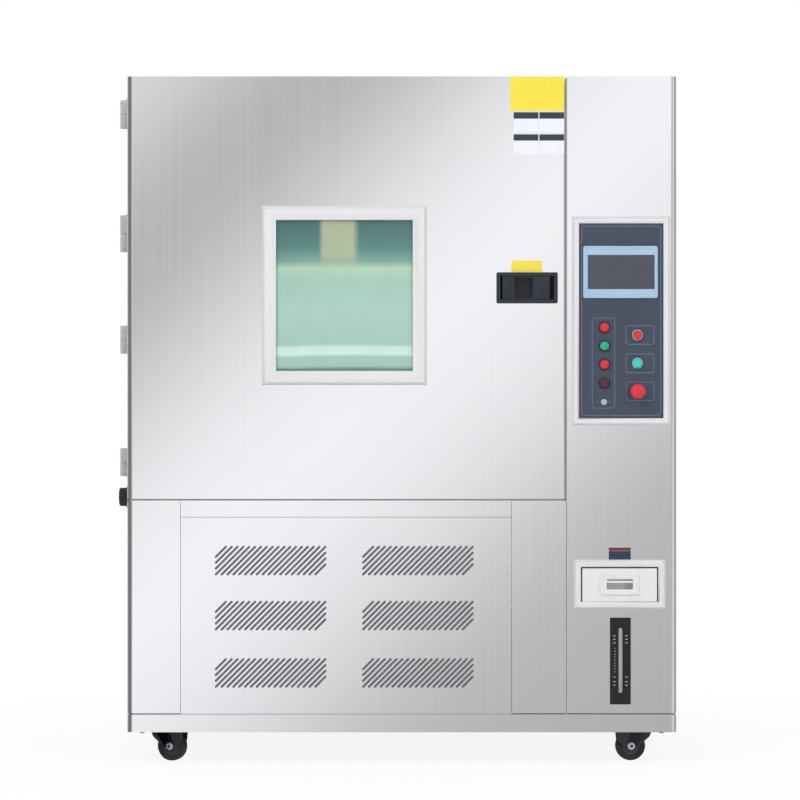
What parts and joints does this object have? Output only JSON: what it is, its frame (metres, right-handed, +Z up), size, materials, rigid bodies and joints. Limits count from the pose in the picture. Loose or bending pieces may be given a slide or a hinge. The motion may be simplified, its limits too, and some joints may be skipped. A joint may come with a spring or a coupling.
{
  "type": "environmental test chamber",
  "caption": "insulated test cabinet on swivel casters with a windowed hinged door, louvred lower panel, control column, water drawer and level gauge",
  "frame": {"origin": "middle of the footprint box on the floor, under the wheels", "axes": "+X to the right seen from the front, -Y towards the viewer, +Z up"},
  "size_m": [1.434, 1.161, 1.75],
  "materials": {
    "brushed_panel": "vertical brushed stainless sheet",
    "white_paint": "pale grey painted sheet",
    "dark_paint": "dark painted steel",
    "frame_paint": "grey painted steel",
    "tank_steel": "plain stainless sheet",
    "bright_metal": "satin aluminium",
    "zinc_steel": "zinc plated steel",
    "foam": "rigid foam board",
    "black_rubber": "black rubber",
    "grey_rubber": "grey silicone rubber",
    "caster_tyre": "dark caster tread",
    "green_glass": "green tinted multi-pane glass",
    "clear_tube": "clear gauge tube",
    "panel_dark": "dark blue-grey control panel",
    "bezel_blue": "pale blue bezel",
    "screen": "dark glossy screen",
    "black_plastic": "black plastic",
    "lamp_plastic": "coloured lamp lenses",
    "button_red": "red plastic",
    "button_cyan": "cyan plastic",
    "white_plastic": "white plastic",
    "copper_coil": "aluminium fins on tubes"
  },
  "bodies": {
    "cabinet": {"base_frame": "frame_paint", "base_skirt": "brushed_panel", "inner_frame": "frame_paint", "lower_surround": "brushed_panel", "grille_panel": "brushed_panel", "left_side_panel": "brushed_panel", "right_side_panel": "brushed_panel", "top_panel": "brushed_panel", "rear_panels": "white_paint", "door_surround": "tank_steel", "inner_tank": "tank_steel", "shelves": "zinc_steel", "insulation_boards": "foam", "air_duct_panel": "tank_steel", "air_coils": "copper_coil", "fan_motor": "dark_paint", "compressor": "dark_paint", "condenser": "copper_coil", "water_tank": "white_plastic", "column_front": "brushed_panel", "control_frame": "bright_metal", "control_panel": "panel_dark", "hmi_bezel": "bezel_blue", "hmi_screen": "screen", "lamp_bezels": "black_plastic", "lamp_lenses": "lamp_plastic", "button_bezels": "bright_metal", "drawer_frame": "white_plastic", "gauge_plate": "black_plastic", "gauge_tube": "clear_tube", "hinge_body_leaves": "bright_metal", "latch_keeper": "zinc_steel", "port_fittings": "black_rubber", "caster_plates": "zinc_steel"},
    "door": {"door_outer_skin": "brushed_panel", "door_inner_panel": "tank_steel", "door_core": "foam", "door_seal": "grey_rubber", "window_frame": "bright_metal", "window_glass": "green_glass", "handle_housing": "black_plastic", "hinge_door_leaves": "bright_metal"},
    "paddle": {"handle_paddle": "black_plastic"},
    "hook": {"latch_hook": "zinc_steel"},
    "drawer": {"drawer_box": "white_plastic", "drawer_handle": "black_plastic"},
    "power_cap": {"button_power": "button_red"},
    "start_cap": {"button_start": "button_cyan"},
    "stop_head": {"estop_head": "button_red"},
    "key": {"key_switch": "bright_metal"},
    "impeller": {"fan_impeller": "zinc_steel"},
    "cooling_fan": {"condenser_fan": "black_plastic"},
    "fork_fl": {"caster_fork_fl": "dark_paint"},
    "wheel_fl": {"caster_wheel_fl": "caster_tyre"},
    "fork_fr": {"caster_fork_fr": "dark_paint"},
    "wheel_fr": {"caster_wheel_fr": "caster_tyre"},
    "fork_rl": {"caster_fork_rl": "dark_paint"},
    "wheel_rl": {"caster_wheel_rl": "caster_tyre"},
    "fork_rr": {"caster_fork_rr": "dark_paint"},
    "wheel_rr": {"caster_wheel_rr": "caster_tyre"}
  },
  "joints": [
    {"name": "door_hinge", "type": "hinge", "parent": "cabinet", "child": "door", "pos_m": [-0.697, -0.4495, 1.212], "axis": [0, 0, -1], "range_deg": [0, 120]},
    {"name": "handle_paddle", "type": "hinge", "parent": "door", "child": "paddle", "pos_m": [0.2755, -0.5485, 1.2115], "axis": [0, 0, -1], "range_deg": [0, 32], "stiffness_Nm_per_rad": 0.4},
    {"name": "latch_hook", "type": "hinge", "parent": "door", "child": "hook", "pos_m": [0.387, -0.4815, 1.2115], "axis": [0, 0, 1], "range_deg": [0, 25]},
    {"name": "drawer_slide", "type": "slide", "parent": "cabinet", "child": "drawer", "axis": [0, -1, 0], "range_m": [0, 0.15]},
    {"name": "power_press", "type": "slide", "parent": "cabinet", "child": "power_cap", "axis": [0, 1, 0], "range_m": [0, 0.003], "stiffness_N_per_m": 600},
    {"name": "start_press", "type": "slide", "parent": "cabinet", "child": "start_cap", "axis": [0, 1, 0], "range_m": [0, 0.003], "stiffness_N_per_m": 600},
    {"name": "stop_press", "type": "slide", "parent": "cabinet", "child": "stop_head", "axis": [0, 1, 0], "range_m": [0, 0.005]},
    {"name": "key_turn", "type": "hinge", "parent": "cabinet", "child": "key", "pos_m": [0.5315, -0.5505, 0.9206], "axis": [0, 1, 0], "range_deg": [-45, 45]},
    {"name": "fan_spin", "type": "hinge", "parent": "cabinet", "child": "impeller", "pos_m": [-0.1255, 0.265, 1.47975], "axis": [0, 1, 0], "continuous": true},
    {"name": "cooling_fan_spin", "type": "hinge", "parent": "cabinet", "child": "cooling_fan", "pos_m": [-0.303, -0.3915, 0.312], "axis": [0, 1, 0], "continuous": true},
    {"name": "swivel_fl", "type": "hinge", "parent": "cabinet", "child": "fork_fl", "pos_m": [-0.598, -0.4585, 0.0937], "axis": [0, 0, 1], "continuous": true},
    {"name": "roll_fl", "type": "hinge", "parent": "fork_fl", "child": "wheel_fl", "pos_m": [-0.57204, -0.46899, 0.038], "axis": [-0.3746, -0.9272, 0], "continuous": true},
    {"name": "swivel_fr", "type": "hinge", "parent": "cabinet", "child": "fork_fr", "pos_m": [0.632, -0.4585, 0.0937], "axis": [0, 0, 1], "continuous": true},
    {"name": "roll_fr", "type": "hinge", "parent": "fork_fr", "child": "wheel_fr", "pos_m": [0.60421, -0.46191, 0.038], "axis": [-0.1219, 0.9925, 0], "continuous": true},
    {"name": "swivel_rl", "type": "hinge", "parent": "cabinet", "child": "fork_rl", "pos_m": [-0.598, 0.4715, 0.0937], "axis": [0, 0, 1], "continuous": true},
    {"name": "roll_rl", "type": "hinge", "parent": "fork_rl", "child": "wheel_rl", "pos_m": [-0.57506, 0.48756, 0.038], "axis": [0.5736, -0.8192, 0], "continuous": true},
    {"name": "swivel_rr", "type": "hinge", "parent": "cabinet", "child": "fork_rr", "pos_m": [0.632, 0.4715, 0.0937], "axis": [0, 0, 1], "continuous": true},
    {"name": "roll_rr", "type": "hinge", "parent": "fork_rr", "child": "wheel_rr", "pos_m": [0.60775, 0.4855, 0.038], "axis": [0.5, 0.866, 0], "continuous": true}
  ],
  "couplings": [
    {"joint": "latch_hook", "follows": "handle_paddle", "ratio": 0.75}
  ]
}
